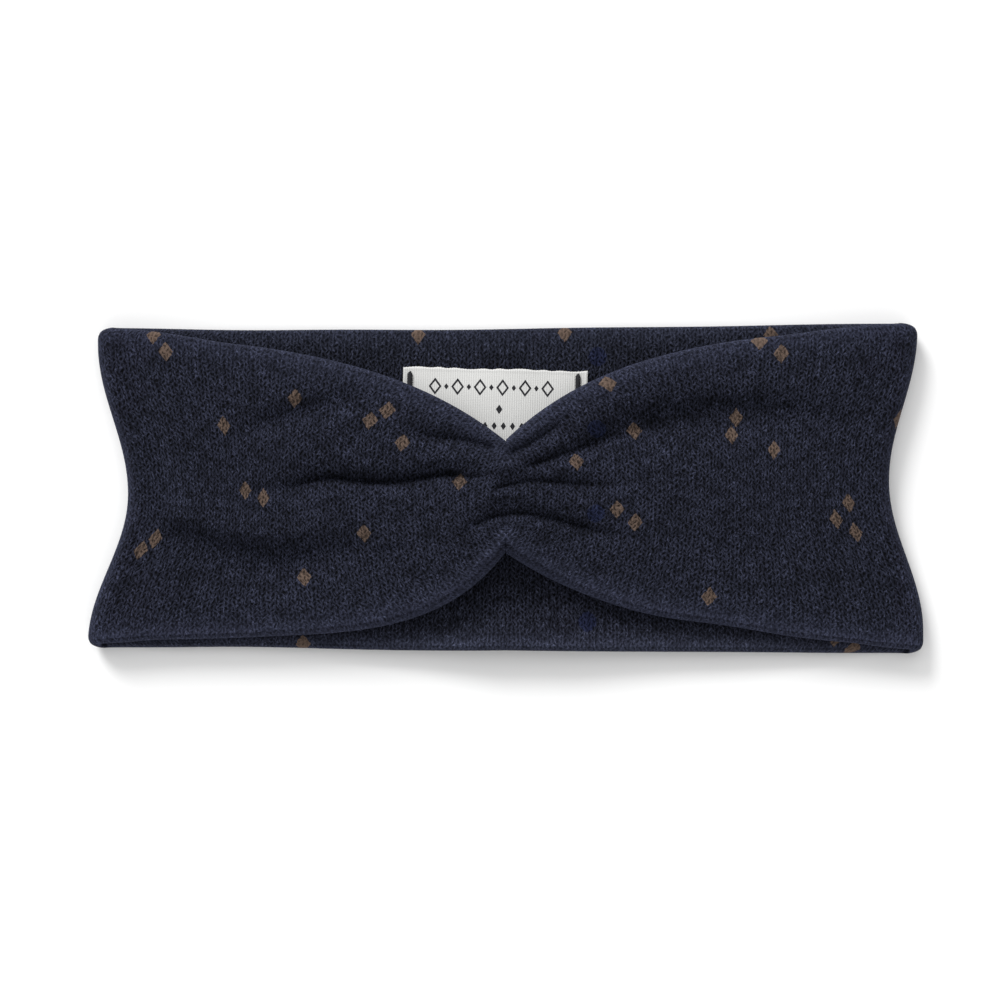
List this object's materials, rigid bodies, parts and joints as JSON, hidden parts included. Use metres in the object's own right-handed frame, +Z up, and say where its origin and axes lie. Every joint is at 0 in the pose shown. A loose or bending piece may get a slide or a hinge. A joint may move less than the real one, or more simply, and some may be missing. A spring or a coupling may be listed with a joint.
{
  "type": "knotted headband",
  "caption": "Soft two-layer knit headband laid flat: a wide loop gathered to a narrow neck at a centre front seam, with a woven label inside the back.",
  "frame": {"origin": "under the middle of the flat loop, on the surface that it lies on", "axes": "+X along the band to the wearer's left, +Y across the band towards its upper edge, +Z up, out of the front"},
  "size_m": [0.1988, 0.0792, 0.0126],
  "materials": {
    "outer_jersey": "matte printed cotton jersey",
    "lining_jersey": "matte printed cotton jersey",
    "woven_label": "satin woven polyester",
    "sewing_thread": "spun polyester thread"
  },
  "bodies": {
    "back_center": {"back_outer_panel_center": "outer_jersey", "back_lining_center": "lining_jersey", "woven_label": "woven_label", "label_bar_tack_left": "sewing_thread", "label_bar_tack_right": "sewing_thread"},
    "back_left": {"back_outer_panel_left": "outer_jersey", "back_lining_left": "lining_jersey"},
    "front_left": {"front_outer_panel_left": "outer_jersey", "front_lining_left": "lining_jersey"},
    "neck_left": {"neck_outer_panel_left": "outer_jersey", "neck_lining_left": "lining_jersey", "gathering_thread_left": "sewing_thread"},
    "back_right": {"back_outer_panel_right": "outer_jersey", "back_lining_right": "lining_jersey"},
    "front_right": {"front_outer_panel_right": "outer_jersey", "front_lining_right": "lining_jersey"},
    "neck_right": {"neck_outer_panel_right": "outer_jersey", "neck_lining_right": "lining_jersey", "gathering_thread_right": "sewing_thread", "center_seam_thread": "sewing_thread"}
  },
  "joints": [
    {"name": "loop_opening", "type": "hinge", "parent": "back_center", "child": "back_left", "pos_m": [-0.026, 0, 0.0035], "axis": [0, 1, 0], "range_deg": [0, 50]},
    {"name": "left_fold_opening", "type": "hinge", "parent": "back_left", "child": "front_left", "pos_m": [-0.0994, 0, 0.0035], "axis": [0, -1, 0], "range_deg": [-4, 108]},
    {"name": "left_neck_bend", "type": "hinge", "parent": "front_left", "child": "neck_left", "pos_m": [-0.026, 0, 0.0035], "axis": [0, 1, 0], "range_deg": [-4, 58]},
    {"name": "right_back_bend", "type": "hinge", "parent": "back_center", "child": "back_right", "pos_m": [0.026, 0, 0.0035], "axis": [0, -1, 0], "range_deg": [-4, 58]},
    {"name": "right_fold_opening", "type": "hinge", "parent": "back_right", "child": "front_right", "pos_m": [0.0994, 0, 0.0035], "axis": [0, 1, 0], "range_deg": [-4, 108]},
    {"name": "right_neck_bend", "type": "hinge", "parent": "front_right", "child": "neck_right", "pos_m": [0.026, 0, 0.0035], "axis": [0, -1, 0], "range_deg": [-4, 58]}
  ],
  "couplings": [
    {"joint": "left_fold_opening", "follows": "loop_opening", "ratio": 2},
    {"joint": "left_neck_bend", "follows": "loop_opening", "ratio": 1},
    {"joint": "right_back_bend", "follows": "loop_opening", "ratio": 1},
    {"joint": "right_fold_opening", "follows": "loop_opening", "ratio": 2},
    {"joint": "right_neck_bend", "follows": "loop_opening", "ratio": 1}
  ]
}
